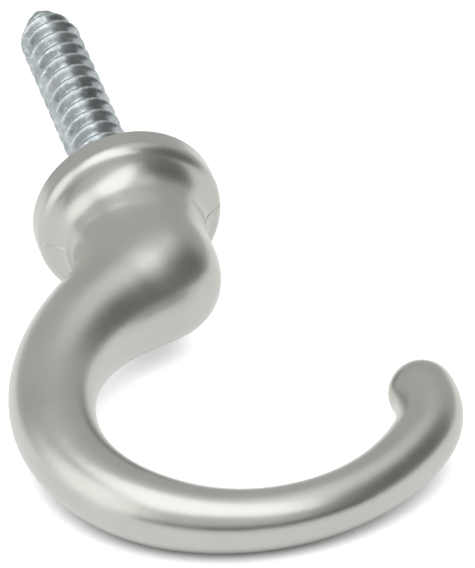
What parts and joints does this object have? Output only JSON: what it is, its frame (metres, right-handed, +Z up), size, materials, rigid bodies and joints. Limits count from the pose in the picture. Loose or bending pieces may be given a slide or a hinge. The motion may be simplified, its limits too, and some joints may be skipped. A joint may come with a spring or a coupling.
{
  "type": "screw hook",
  "caption": "Open round hook with a flared collar and a coarse wood screw, turned by hand into timber to hang things from.",
  "frame": {"origin": "middle of the lying part's bounding box, on the surface that it lies on", "axes": "+Y runs along the part from the bottom of the hook to the screw's point, +X from the hook's belly to its tip, +Z up from the surface"},
  "size_m": [0.035, 0.075, 0.0161],
  "materials": {
    "satin_casting": "satin nickel plating on a zinc die casting",
    "zinc_steel": "bright zinc plating on steel"
  },
  "bodies": {
    "root": {"hook_body": "satin_casting", "screw_stud": "zinc_steel"}
  },
  "joints": []
}
